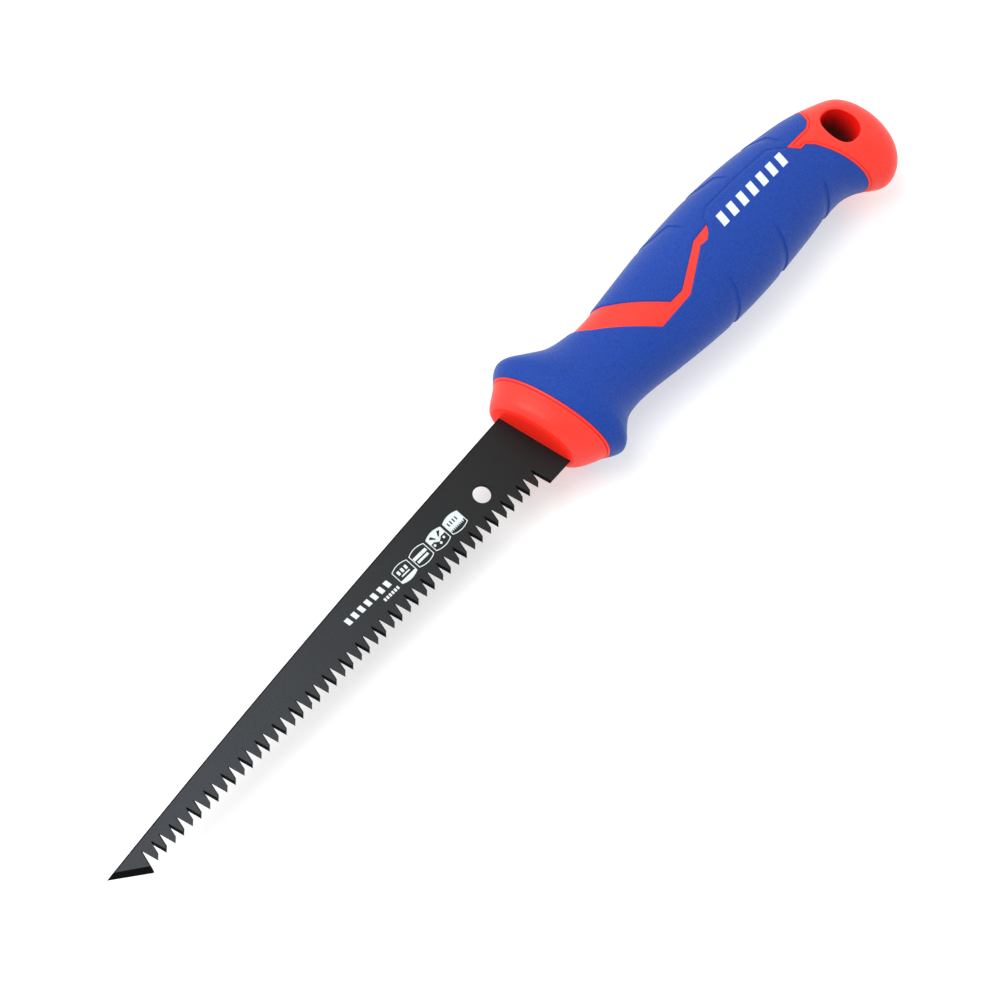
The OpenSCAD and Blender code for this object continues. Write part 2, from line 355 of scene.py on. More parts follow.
collar_angles = np.linspace(0, math.pi, 121)
collar_line = np.stack([np.full(len(collar_angles), COLLAR_LENGTH), collar_angles], axis=1)
stripe_line = trace(STRIPE, ALONG_LINES)
butt_line = trace(BUTT_FRONT[:-1] + [tuple(p) for p in bulged(BUTT_FRONT[-1], BUTT_BELLY, BUTT_BULGE, 16)],
                  ALONG_LINES)
scale_lines = [trace(line, ALONG_LINES) for line in BELLY_SCALES + BACK_SCALES]
crease_line = trace(CREASE, ALONG_LINES)
near_collar, near_stripe, near_butt, near_crease = [
    Near(line) for line in (collar_line, stripe_line, butt_line, crease_line)]
near_scales = [Near(line) for line in scale_lines]


def inside(polygon, points):
    """Which points lie in the polygon, both in the skin's own u and a."""
    x, y = points[:, 0], points[:, 1]
    odd = np.zeros(len(points), bool)
    for (x1, y1), (x2, y2) in zip(polygon, np.roll(polygon, -1, axis=0)):
        if y1 != y2:
            odd ^= ((y1 > y) != (y2 > y)) & (x < (x2 - x1) * (y - y1) / (y2 - y1) + x1)
    return odd


def zones(points):
    """Which of the (u, a) points lie in the stripe, in the butt and in the collar."""
    stripe = np.concatenate([stripe_line, [(stripe_line[-1, 0], -1), (stripe_line[0, 0], -1)]])
    past = SKIN_END + 20
    butt = np.concatenate([butt_line, [(butt_line[-1, 0], 4), (past, 4), (past, -1),
                                       (butt_line[0, 0], -1)]])
    return inside(stripe, points), inside(butt, points), points[:, 0] < COLLAR_LENGTH


def rounded_edge(distance, radius):
    """How far an edge of that radius has dropped, at a distance from the edge."""
    d = np.minimum(distance, radius)
    return radius - np.sqrt(np.maximum(radius ** 2 - (radius - d) ** 2, 0))


def sleeve_lift(u, a):
    """Height of the sleeve's surface over the plain skin."""
    points = skin(u, a)
    lift = -rounded_edge(near_stripe(points)[0], STRIPE_EDGE)
    edge = np.minimum(near_collar(points)[0], near_butt(points)[0])
    lift -= rounded_edge(edge, BORDER_EDGE)
    lift -= CREASE_DEPTH * (1 - ease(near_crease(points)[0] / CREASE_WIDTH))
    for near, back in zip(near_scales, [False] * len(BELLY_SCALES) + [True] * len(BACK_SCALES)):
        distance, side, run = near(points)
        d = distance * side
        dip = -SCALE_STEP[back] * (1 - ease(-d / SCALE_RAMP))
        lip = SCALE_LIP[back] * (1 - ease(d / SCALE_RAMP))
        up = ease((d + SCALE_WALL) / (2 * SCALE_WALL))
        inner = near.run[-1] - run if back else run
        lift += (dip * (1 - up) + lip * up) * ease(inner / SCALE_FADE)
    return lift


def body_lift(u, a, in_stripe):
    """Height of the hard body's visible surface over the plain skin."""
    points = skin(u, a)
    rib = np.minimum(near_collar(points)[0], near_butt(points)[0])
    lift = RIB_HEIGHT * (1 - ease((rib - RIB_WIDTH + RIB_SIDE / 2) / RIB_SIDE))
    lift -= RIB_GROOVE * (1 - ease(np.abs(rib - RIB_WIDTH - RIB_SIDE) / RIB_SIDE))
    return np.where(in_stripe, -STRIPE_DEPTH, lift)


# ---- Meshing the skin

def spread(groups):
    """Joins groups of (points, least distance), leaving out a point that is too close
    to one already there."""
    kept = []
    for points, least in groups:
        points = points[(points[:, 1] > 0.02) & (points[:, 1] < math.pi - 0.02)
                        & (points[:, 0] > SKIN_START + 0.1) & (points[:, 0] < SKIN_END - 0.1)]
        if least and kept:
            known = skin(*np.concatenate(kept).T)
            tree = KDTree(len(known))
            for i, p in enumerate(known):
                tree.insert(p, i)
            tree.balance()
            there = skin(points[:, 0], points[:, 1])
            points = points[[tree.find(p)[2] > least for p in there]]
        kept.append(points)
    return np.concatenate(kept)


def hole_outline(grow):
    """The hang hole's outline seen from above, grown by a distance."""
    turn = np.linspace(0, 2 * math.pi, 96, endpoint=False)
    wave = np.stack([np.cos(turn), np.sin(turn)], axis=1)
    wave = np.sign(wave) * np.abs(wave) ** (2 / HANG_SQUARENESS)
    return HANG_HOLE + wave * (HANG_RADIUS + grow, HANG_HALF_LENGTH + grow)


def hole_ring(grow):
    u, a, _ = from_above(*hole_outline(grow).T)
    return np.stack([u, a], axis=1)


def edge_row(angle, crossings):
    """Points along the skin's edge at an angle, with the ends of the lines among them."""
    row = np.linspace(SKIN_START, SKIN_END, round((SKIN_END - SKIN_START) / 0.6))
    row = [u for u in row if all(abs(u - c) > 0.25 for c in crossings)]
    return np.array([(u, angle) for u in sorted(row + list(crossings))])


def triangulate(points, loops, lines):
    """Triangles over points in the plane that keep to the loops' and lines' edges."""
    vertices = [Vector(p) for p in points]
    edges = []
    for chain, closed in [(c, True) for c in loops] + [(c, False) for c in lines]:
        first = len(vertices)
        vertices += [Vector(p) for p in chain]
        edges += [(first + i, first + i + 1) for i in range(len(chain) - 1)]
        if closed:
            edges.append((first + len(chain) - 1, first))
    out = delaunay_2d_cdt(vertices, edges, [], 0, 1e-5)
    return np.array([tuple(v) for v in out[0]]), np.array([tuple(f) for f in out[2]])


def skin_mesh():
    """The upper skin between the collar's front edge and the dome, as (u, a) points and
    triangles, with an edge along every border."""
    ends = {0.0: [], math.pi: []}
    for line in (stripe_line, butt_line, collar_line):
        for u, a in (line[0], line[-1]):
            if a in ends:
                ends[a].append(u)
    around = np.linspace(0, math.pi, RING)[1:-1]
    outline = np.concatenate([
        edge_row(0.0, ends[0.0]),
        np.stack([np.full(RING - 2, SKIN_END), around], axis=1),
        edge_row(math.pi, ends[math.pi])[::-1],
        np.stack([np.full(RING - 2, SKIN_START), around[::-1]], axis=1),
    ])
    rim = hole_ring(RIM_WIDTH)
    rows = [(np.concatenate([beside(line, d) for line in scale_lines for d in SCALE_ROWS]), 0),
            (np.concatenate([beside(crease_line, d) for d in CREASE_ROWS]), 0.12)]
    for line, offsets in ((stripe_line, STRIPE_ROWS), (butt_line, BORDER_ROWS),
                          (collar_line, [-d for d in BORDER_ROWS])):
        rows.append((np.concatenate([beside(line, d) for d in offsets]), 0.055))
    rows.append((np.concatenate([hole_ring(RIM_WIDTH + d) for d in (0.35, 0.8)]), 0.2))
    u = np.arange(SKIN_START, SKIN_END, GRID)
    a = np.arange(0, math.pi, GRID * 0.87 / MEAN_RADIUS)
    grid = np.stack(np.meshgrid(u, a, indexing="ij"), axis=-1)
    grid[:, 1::2, 0] += GRID / 2
    rows.append((grid.reshape(-1, 2), 0.4 * GRID))
    borders = [collar_line, stripe_line, butt_line]
    first = [(np.concatenate(borders + [rim]), 0)]
    points = spread(first + rows)[len(spread(first)):]
    away = ~inside(hole_ring(RIM_WIDTH + 0.15), points)
    flat = np.array([1, MEAN_RADIUS])
    vertices, faces = triangulate(points[away] * flat, [outline * flat, rim * flat],
                                  [line * flat for line in borders])
    vertices = vertices / flat
    vertices[np.abs(vertices[:, 1]) < 1e-5, 1] = 0
    vertices[np.abs(vertices[:, 1] - math.pi) < 1e-5, 1] = math.pi
    middle = vertices[faces].mean(axis=1)
    return vertices, faces[~inside(rim, middle)]


def rims(faces):
    """Edges that only one of the triangles has, in that triangle's direction."""
    pairs = np.concatenate([faces[:, [0, 1]], faces[:, [1, 2]], faces[:, [2, 0]]])
    there = {(p, q) for p, q in pairs.tolist()}
    return [(p, q) for p, q in there if (q, p) not in there]


class Shell:
    """Collects points and faces of the upper half of a closed piece, then mirrors them."""

    def __init__(self):
        self.points, self.faces, self.count = [], [], 0

    def add(self, points):
        first = self.count
        self.points.append(np.asarray(points, float))
        self.count += len(points)
        return first

    def ring_strip(self, first_a, first_b, count, closed=False):
        """Quads between two rows of points."""
        last = count if closed else count - 1
        for i in range(last):
            j = (i + 1) % count
            self.faces.append((first_a + i, first_a + j, first_b + j, first_b + i))

    def whole(self):
        """Points and faces of both halves, joined along the middle plane."""
        points = np.concatenate(self.points)
        points[np.abs(points[:, 2]) < 1e-4, 2] = 0
        mirrored = points * (1, 1, -1)
        both = np.concatenate([points, mirrored])
        shift = len(points)
        faces = self.faces + [tuple(i + shift for i in reversed(f)) for f in self.faces]
        return both, faces


def place(points):
    return [ORIGIN + Vector(p) * MM for p in points]


def make_piece(name, points, faces, slot, node=None, sharp=SHARP):
    """A closed mesh piece at its place in the frame, shaded smooth but for sharp edges."""
    mesh = bpy.data.meshes.new(name)
    mesh.from_pydata(place(points), [], [tuple(int(i) for i in f) for f in faces])
    piece = bpy.data.objects.new(name, mesh)
    bpy.context.scene.collection.objects.link(piece)
    bm = bmesh.new()
    bm.from_mesh(mesh)
    bmesh.ops.remove_doubles(bm, verts=bm.verts, dist=2e-6)
    bmesh.ops.dissolve_degenerate(bm, edges=bm.edges, dist=1e-7)
    bmesh.ops.recalc_face_normals(bm, faces=bm.faces)
    bm.to_mesh(mesh)
    bm.free()
    finish_piece(piece, node, sharp)
    return piece


def finish_piece(piece, node, sharp):
    """Shades a piece, and says what it rides on and the node that it replaces."""
    bm = bmesh.new()
    bm.from_mesh(piece.data)
    for face in bm.faces:
        face.smooth = True
    for edge in bm.edges:
        if len(edge.link_faces) == 2:
            edge.smooth = edge.calc_face_angle() < math.radians(sharp)
    bm.to_mesh(piece.data)
    bm.free()
    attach(piece, "root")
    if node:
        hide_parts(node)


def lifted(u, a, lift):
    """Points of the skin raised along its normal, kept on the middle plane at its edges."""
    points = skin(u, a) + skin_slopes(u, a)[2] * lift[:, None]
    points[(a == 0) | (a == math.pi), 2] = 0
    return points


vertices, triangles = skin_mesh()
in_stripe, in_butt, in_collar = zones(vertices[triangles].mean(axis=1))
is_hard = in_stripe | in_butt | in_collar


def used(faces):
    """The faces over only the points that they use, and those points' numbers."""
    numbers, faces = np.unique(faces, return_inverse=True)
    return numbers, faces.reshape(-1, 3)


def grip_sleeve():
    numbers, faces = used(triangles[~is_hard])
    u, a = vertices[numbers].T
    shell = Shell()
    outer = shell.add(lifted(u, a, sleeve_lift(u, a)))
    inner_points = skin(u, a, SLEEVE_THICKNESS)
    inner_points[(a == 0) | (a == math.pi), 2] = 0
    inner = shell.add(inner_points)
    shell.faces += [tuple(f + outer) for f in faces]
    shell.faces += [tuple(f[::-1] + inner) for f in faces]
    on_edge = (a == 0) | (a == math.pi)
    for p, q in rims(faces):
        if not (on_edge[p] and on_edge[q]):
            shell.faces.append((q + outer, p + outer, p + inner, q + inner))
    return make_piece("soft_sleeve", *shell.whole(), "blue_rubber", "grip_sleeve")


def handle_body():
    hard_numbers, hard = used(triangles[is_hard])
    soft_numbers, soft = used(triangles[~is_hard])
    stripe_points = np.unique(triangles[in_stripe])
    shell = Shell()
    u, a = vertices[hard_numbers].T
    outer = shell.add(lifted(u, a, body_lift(u, a, np.isin(hard_numbers, stripe_points))))
    shell.faces += [tuple(f + outer) for f in hard]
    u2, a2 = vertices[soft_numbers].T
    core_points = skin(u2, a2, SLEEVE_THICKNESS)
    core_points[(a2 == 0) | (a2 == math.pi), 2] = 0
    core = shell.add(core_points)
    shell.faces += [tuple(f + core) for f in soft]
    to_core = {n: core + i for i, n in enumerate(soft_numbers)}
    on_edge = (a == 0) | (a == math.pi)
    for p, q in rims(hard):
        if on_edge[p] and on_edge[q]:
            continue
        if max(u[p], u[q]) < SKIN_START + 1e-4 or min(u[p], u[q]) > SKIN_END - 1e-4:
            continue
        n, m = hard_numbers[p], hard_numbers[q]
        if n in to_core and m in to_core:
            shell.faces.append((q + outer, p + outer, to_core[n], to_core[m]))
    collar_face(shell)
    butt_dome(shell)
    hang_hole_wall(shell)
    body = make_piece("hard_body", *shell.whole(), "red_plastic", "handle_body")
    cut_tang_slot(body)
    return body


def collar_face(shell):
    """The rounded front edge of the collar, and its flat face."""
    around = np.linspace(0, math.pi, RING)
    flank, corner = skin(SKIN_START, around), skin(0.0, around)
    centre = np.array([GUARD_RAKE * (STATIONS[0, 1] - AXIS_Y), STATIONS[0, 1], 0])
    shrink = 1 - FACE_ROUND / STATIONS[0, 2]
    face = centre + (corner - centre) * shrink
    rows = [(1 - t) ** 2 * flank + 2 * t * (1 - t) * corner + t * t * face
            for t in np.linspace(0, 1, 11)]
    rows += [centre + (face - centre) * k for k in np.linspace(1, 0, 13)[1:]]
    for row in rows:
        row[[0, -1], 2] = 0
    firsts = [shell.add(row) for row in rows]
    for p, q in zip(firsts, firsts[1:]):
        shell.ring_strip(p, q, RING)


def butt_dome(shell):
    """The end of the butt, from where the free mesh stops to the dome's top."""
    around = np.linspace(0, math.pi, RING)
    turns = np.linspace(DOME_SPLIT, TOP, 26)
    rows = [skin(DOME_START + DOME_ARC * t, around) for t in turns]
    for row in rows:
        row[[0, -1], 2] = 0
    firsts = [shell.add(row) for row in rows]
    for p, q in zip(firsts, firsts[1:]):
        shell.ring_strip(p, q, RING)


def hang_hole_wall(shell):
    """The rounded rim of the hang hole, and its wall down to the middle plane."""
    start, near_start, top = [skin(*hole_ring(share * RIM_WIDTH).T) for share in (1, 0.45, 0)]
    wall = np.concatenate([hole_outline(0), top[:, 2:]], axis=1)
    upper, lower = wall - (0, 0, 0.4 * RIM_DEPTH), wall - (0, 0, RIM_DEPTH)
    rows = []
    for t in np.linspace(0, 1, 10):
        rows.append((1 - t) ** 3 * start + 3 * t * (1 - t) ** 2 * near_start
                    + 3 * t * t * (1 - t) * upper + t ** 3 * lower)
    for share in (0.75, 0.5, 0.25, 0):
        rows.append(lower * (1, 1, share))
    firsts = [shell.add(row) for row in rows]
    for p, q in zip(firsts, firsts[1:]):
        shell.ring_strip(p, q, len(start), closed=True)


# ---- The blade

BLADE_HALF = (BLADE_HIGH.z - BLADE_LOW.z) / 2
NOSE_TIP = (BLADE_LOW.x, 5.3)
NOSE_BEVEL = 1.7             # width of the ground face along the nose
EDGE_LAND = 0.05             # half the thickness left along the nose's sharp edge
BACK_BREAK = 0.2             # how much wider the bevel is along the back
BACK_NEAR = 1                # points this close to the back's straight line are on the back
EDGE_BREAK = 0.12            # tiny bevel along every other edge
TEETH = 47
PITCH = 25.4 / 8
FIRST_TOOTH = -155.55
NOSE_CORNER = (FIRST_TOOTH - PITCH - 0.1, -1.6)
HEEL_CORNER = (FIRST_TOOTH + (TEETH - 1) * PITCH + 3, -1.6)
GULLET_BACK, GULLET_DEPTH = 1.12, 4.6    # how far a gullet's point lies in front of its tooth
GULLET_LAND = 0.22           # how far above its point a gullet is blunt
FIRST_FRONT = 0.285          # lean of the first gullet's front, for each mm of depth
FACET_LENGTH, FACET_HEIGHT = 1.12, 1.0   # the third face, ground on each tooth's tip
FLEAM = math.radians(24)     # the alternate slant of the gullets
BACK_BOW = 1.1               # how far the back bows out between its ends
BACK_END = (4.0, 21.4)
BACK_LINE = (BACK_END[1] - NOSE_TIP[1]) / (BACK_END[0] - NOSE_TIP[0])    # as a slope
HEEL_END = (4.0, -1.1)
TANG = [(8, 3), (72, 5.5), (72, 15.5), (8, 18.5)]
LOCK_HOLES, LOCK_RADIUS = (18, 56), 3.0
SLOT_CLEARANCE = 0.03
SLOT_MOUTH = (-6, -1.6)      # where the tang's slot starts, in front of the collar
BLADE_SHARP = 7


def meeting(p, way_p, q, way_q):
    """Where two lines of the plane meet."""
    t = np.linalg.solve(np.stack([way_p, -np.array(way_q, float)], axis=1), np.subtract(q, p))
    return np.add(p, np.multiply(way_p, t[0]))


def tooth(i, z):
    """The outline of tooth i at height z, from the gullet in front of it to its facet's end."""
    tip = FIRST_TOOTH + i * PITCH
    lean = GULLET_BACK / GULLET_DEPTH
    shift = z * math.tan(FLEAM) * (-1 if i % 2 == 0 else 1)
    facet = FACET_HEIGHT / FACET_LENGTH
    end = np.array([tip + FACET_LENGTH - shift, FACET_HEIGHT])
    if shift < 0:
        depth = 2 * shift / (1 + lean)
        point = np.array([tip + shift - lean * depth, depth])
        return [point, np.array([tip - shift, 0]), end]
    depth = 2 * facet * shift / (1 + lean * facet)
    point = np.array([tip + shift - lean * depth, depth])
    return [point, point * 0.7 + end * 0.3, end]


def gullet_bottom(i, z):
    """The two corners of the narrow bottom of the gullet in front of tooth i."""
    shift = z * math.tan(FLEAM) * (-1 if i % 2 == 0 else 1)
    point = np.array([FIRST_TOOTH + i * PITCH - GULLET_BACK + shift, GULLET_DEPTH])
    lean = GULLET_BACK / GULLET_DEPTH
    return [point + (-lean * GULLET_LAND, -GULLET_LAND), point + (lean * GULLET_LAND, -GULLET_LAND)]


def blade_outline(z):
    """The steel's outline at height z in its thickness, with the tang."""
    way = np.subtract(NOSE_TIP, NOSE_CORNER) / math.dist(NOSE_TIP, NOSE_CORNER)
    inward = np.array([-way[1], way[0]]) * -1
    ground = NOSE_BEVEL * max(abs(z) - EDGE_LAND, 0) / (BLADE_HALF - EDGE_LAND)
    bevel = NOSE_CORNER + inward * ground
    first = gullet_bottom(0, z)
    land_end = meeting(first[0], (FIRST_FRONT, 1), NOSE_CORNER, (1, 0))
    corner = meeting(bevel, way, NOSE_CORNER, (1, 0))
    if corner[0] > land_end[0]:
        land_end = meeting(first[0], (FIRST_FRONT, 1), bevel, way)
        corner = land_end + way * 0.03
    outline = [corner, land_end]
    for i in range(TEETH):
        outline += gullet_bottom(i, z) + tooth(i, z)
    last = gullet_bottom(TEETH, z)
    lean = GULLET_BACK / GULLET_DEPTH
    outline += last + [meeting(last[1], (-lean, 1), HEEL_CORNER, np.subtract(HEEL_END, HEEL_CORNER))]
    back = bulged(NOSE_TIP, BACK_END, BACK_BOW, 24)
    tip = meeting(bevel, way, back[0], back[1] - back[0])
    return np.array(outline + [HEEL_END] + TANG + list(back[:0:-1]) + [tip])


def inset(loop, distance):
    """A closed outline moved in by a distance, its corners kept sharp."""
    before, after = loop - np.roll(loop, 1, axis=0), np.roll(loop, -1, axis=0) - loop
    normals = [np.stack([-w[:, 1], w[:, 0]], axis=1) / np.linalg.norm(w, axis=1, keepdims=True)
               for w in (before, after)]
    share = 1 + (normals[0] * normals[1]).sum(axis=1, keepdims=True)
    return loop + distance * (normals[0] + normals[1]) / np.maximum(share, 0.12)


def circle(centre, radius, count=48):
    turn = np.linspace(0, 2 * math.pi, count, endpoint=False)
    return np.stack([centre[0] + radius * np.cos(turn), centre[1] + radius * np.sin(turn)], axis=1)


def stack(layers, heights):
    """A closed solid over matching outlines at rising heights. Each layer is a list of loops:
    the outline, then its holes."""
    points, faces = [], []
    for loops, z in zip(layers, heights):
        points += [(*p, z) for loop in loops for p in loop]
    layer = len(points) // len(layers)
    first = 0
    for loop in layers[0]:
        n = len(loop)
        for k in range(len(layers) - 1):
            for i in range(n):
                a, b = first + i + k * layer, first + (i + 1) % n + k * layer
                faces.append((a, b, b + layer, a + layer))
        first += n
    for loops, z in ((layers[0], heights[0]), (layers[-1], heights[-1])):
        flat, triangles_ = triangulate([], loops, [])
        middle = flat[triangles_].mean(axis=1)
        keep = inside(loops[0], middle)
        for hole in loops[1:]:
            keep &= ~inside(hole, middle)
        start = len(points)
        points += [(*p, z) for p in flat]
        faces += [tuple(start + i for i in f) for f in triangles_[keep]]
    return points, faces


def blade():
    """The steel with its tang, from outlines at rising heights in its thickness."""
    heights = [-BLADE_HALF, -BLADE_HALF + EDGE_BREAK, -EDGE_LAND,
               EDGE_LAND, BLADE_HALF - EDGE_BREAK, BLADE_HALF]
    layers = []
    for z in heights:
        edge = EDGE_BREAK if abs(z) == BLADE_HALF else 0
        holes = [circle(BLADE_HOLE, BLADE_HOLE_RADIUS + edge)]
        holes += [circle((x, AXIS_Y), LOCK_RADIUS + edge) for x in LOCK_HOLES]
        outline = inset(blade_outline(z), edge)
        if edge:
            back_line = BACK_LINE * (outline[:, 0] - NOSE_TIP[0]) + NOSE_TIP[1]
            outline[outline[:, 1] > back_line - BACK_NEAR, 1] -= BACK_BREAK
        layers.append([outline] + holes)
    points, faces = stack(layers, heights)
    return make_piece("blade_steel", points, faces, "coated_steel", "blade", sharp=BLADE_SHARP)


def cut_tang_slot(body):
    """Cuts the slot that the tang sits in out of the hard body."""
    back = bulged(NOSE_TIP, BACK_END, BACK_BOW, 24)
    outline = np.array([SLOT_MOUTH, HEEL_END] + TANG + [BACK_END, tuple(back[-2])])
    outline = inset(outline, -SLOT_CLEARANCE)
    holes = [circle((x, AXIS_Y), LOCK_RADIUS - SLOT_CLEARANCE) for x in LOCK_HOLES]
    half = BLADE_HALF + SLOT_CLEARANCE
    points, faces = stack([[outline] + holes] * 2, [-half, half])
    cutter = make_piece("tang_cutter", points, faces, "red_plastic")
    cut = body.modifiers.new("slot", "BOOLEAN")
    cut.operation, cut.solver, cut.object = "DIFFERENCE", "MANIFOLD", cutter
    bpy.context.view_layer.update()
    result = bpy.data.meshes.new_from_object(body.evaluated_get(bpy.context.evaluated_depsgraph_get()))
    body.modifiers.clear()
    body.data = result
    bpy.data.objects.remove(cutter)
    finish_piece(body, None, SHARP)


# ---- The print, as plain marks in place of lettering

PRINT_HEIGHT = 0.03
PRINT_ROOT = 0.01            # how deep the marks on the blade reach into it
SLEEVE_ROOT = 0.15           # and how deep those on the sleeve do
HANDLE_BARS = 7
BAR_SHARE = 0.54             # how much of its cell a bar on the handle fills


def flat_marks(name, shapes):
    """White marks on the blade's face. Each shape is an outline and its holes."""
    points, faces = [], []
    for loops in shapes:
        loops = [np.array(loop, float) for loop in loops]
        p, f = stack([loops, loops], [BLADE_HALF - PRINT_ROOT, BLADE_HALF + PRINT_HEIGHT])
        faces += [tuple(i + len(points) for i in face) for face in f]
        points += p
    return make_piece(name, points, faces, "white_ink")


def bar(x, y, width, height, slant=0.0):
    """A bar's outline from its lower left corner."""
    lean = slant * height
    return [(x, y), (x + width, y), (x + width + lean, y + height), (x + lean, y + height)]


def barrel(x, y, width, height, bulge, corner=0.35):
    """A badge's outline: straight ends, bulged long sides and rounded corners."""
    low = bulged((x, y + bulge), (x + width, y + bulge), -bulge, 14)
    high = bulged((x + width, y + height - bulge), (x, y + height - bulge), -bulge, 14)
    loop = []
    for side in (low, high):
        run = np.linspace(0.5 * corner / width, 1 - 0.5 * corner / width, 13)
        steps = np.linspace(0, 1, len(side))
        loop.append(np.stack([np.interp(run, steps, side[:, k]) for k in (0, 1)], axis=1))
    return np.concatenate(loop)


BADGE = dict(width=6.2, height=5.4, bulge=0.75)
BADGE_LINE = 0.24
BADGES_X = (-56.25, -49.6, -42.95, -36.3)
BADGES_Y = 6.1


def badge_frame(x):
    outer = barrel(x, BADGES_Y, **BADGE)
    return [outer, inset(outer, BADGE_LINE)]


def clipped(x, low, high):
    """The part of a badge's inside between two heights."""
    loop = inset(barrel(x, BADGES_Y, **BADGE), 0.9 * BADGE_LINE)
    kept = []
    for p, q in zip(loop, np.roll(loop, -1, axis=0)):
        for level in (low, high):
            if (p[1] - level) * (q[1] - level) < 0:
                kept.append(p + (q - p) * (level - p[1]) / (q[1] - p[1]))
        if low < q[1] < high:
            kept.append(q)
    ring = np.array(kept)
    centre = ring.mean(axis=0)
    order = np.argsort(np.arctan2(ring[:, 1] - centre[1], ring[:, 0] - centre[0]))
    return ring[order]


def blade_print():
    """A row of bars, a row of dashes and four badges, in place of lettering."""
    bars = [bar(-74.6 + 2.5 * i, 8.65, 1.4, 2.0, -0.12) for i in range(7)]
    flat_marks("blade_print_bars", [[b] for b in bars])
    dashes = [bar(-62.9 + 0.98 * i, 6.5, 0.62, 0.95) for i in range(6)]
    flat_marks("blade_print_dashes", [[b] for b in dashes])
    x = BADGES_X[0]
    marks = [badge_frame(x), [clipped(x, BADGES_Y, BADGES_Y + 1.35)]]
    marks += [[bar(x + 1.25 + 1.35 * i, 8.95, 0.8, 1.2)] for i in range(3)]
    marks += [[bar(x + 1.6, 8.1, 3.0, 0.4)]]
    flat_marks("badge_length", marks)
    x = BADGES_X[1]
    marks = [badge_frame(x), [bar(x + 0.55, 8.75, 4.75, 0.95)], [bar(x + 0.9, 7.6, 4.0, 0.7)]]
    flat_marks("badge_steel", marks)
    x = BADGES_X[2]
    field = clipped(x, 8.9, BADGES_Y + BADGE["height"])
    wedges = [[(x + 3.1 + k * c, d) for c, d in ((2.1, 10.35), (1.2, 10.7), (0.35, 9.2), (0.75, 9.15))]
              for k in (-1, 1)]
    marks = [badge_frame(x), [field] + wedges]
    marks += [[circle((x + c, d), 0.38, 20)] for c, d in ((1.1, 8.1), (2.9, 7.5), (4.6, 8.1))]
    marks += [[[(x + 1.6, 8.85), (x + 2.9, 8.0), (x + 4.2, 8.85)]]]
    flat_marks("badge_points", marks)
    x = BADGES_X[3]
    field = clipped(x, 8.05, BADGES_Y + BADGE["height"])
    holes = [bar(x + 1.1 + 0.98 * i, 9.0, 0.42, 1.15) for i in range(4)]
    teeth = [[[(x + 0.45 + 0.62 * i, 8.06), (x + 0.75 + 0.62 * i, 7.3), (x + 1.05 + 0.62 * i, 8.06)]]
             for i in range(8)]
    flat_marks("badge_teeth", [badge_frame(x), [field] + holes] + teeth)


def handle_print():
    """Slanted bars that follow the sleeve's surface."""
    start, end, rise = np.array([79.9, 13.0]), np.array([110.4, 13.7]), np.array([0.9, 4.0])
    rows, columns = 9, 15
    points, faces = [], []
    for i in range(HANDLE_BARS):
        left = start + (end - start) * i / HANDLE_BARS
        across = (end - start) / HANDLE_BARS * BAR_SHARE
        grid = np.array([[left + across * c / (rows - 1) + rise * r / (columns - 1)
                          for c in range(rows)] for r in range(columns)]).reshape(-1, 2)
        u, a, _ = from_above(grid[:, 0], grid[:, 1])
        normal = skin_slopes(u, a)[2]
        level = skin(u, a) + normal * sleeve_lift(u, a)[:, None]
        first, count = len(points), rows * columns
        points += list(level + normal * PRINT_HEIGHT) + list(level - normal * SLEEVE_ROOT)
        edge = (list(range(rows)) + [r * rows + rows - 1 for r in range(1, columns)]
                + [count - 2 - c for c in range(rows - 1)]
                + [r * rows for r in range(columns - 2, 0, -1)])
        for r in range(columns - 1):
            for c in range(rows - 1):
                k = first + r * rows + c
                faces.append((k, k + 1, k + rows + 1, k + rows))
                faces.append((k + count + rows, k + count + rows + 1, k + count + 1, k + count))
        for p, q in zip(edge, edge[1:] + edge[:1]):
            faces.append((first + p, first + q, first + q + count, first + p + count))
    return make_piece("handle_print_bars", points, faces, "white_ink")


# ---- Finishes

PAINTED_SHADE_FROM = -150             # where the painted shade on the coating begins, darkening it towards the collar, in mm
PAINTED_SHADE_SHARE = 0.05            # how much of the coating's colour the painted shade leaves at the collar
HOLE_SHADE_TOP, HOLE_SHADE_BOTTOM = 9.5, -3.0    # heights between which the painted shade darkens the hang hole's wall
HOLE_SHADE_SHARE = 0.16            # how much of its colour the painted shade leaves at the lower one
FACE_EDGE = 0.4              # how far the collar's face, with its deeper red painted as shade, goes round its edge
PATCHES = 45                 # scale of the slow patches
GRAIN_DEPTH = 0.0002
SOFT_GRAIN, HARD_GRAIN, STEEL_GRAIN, PAPER_GRAIN = 2400, 1800, 4200, 300


def map_range(tree, source, target, smooth=False):
    """A node that carries the interval source over to the interval target."""
    made = tree.nodes.new("ShaderNodeMapRange")
    made.interpolation_type = "SMOOTHSTEP" if smooth else "LINEAR"
    made.inputs["From Min"].default_value, made.inputs["From Max"].default_value = source
    made.inputs["To Min"].default_value, made.inputs["To Max"].default_value = target
    return made


def noise(tree, scale, detail):
    made = tree.nodes.new("ShaderNodeTexNoise")
    made.inputs["Scale"].default_value = scale
    made.inputs["Detail"].default_value = detail
    return made


def vector_math(tree, operation):
    made = tree.nodes.new("ShaderNodeVectorMath")
    made.operation = operation
    return made


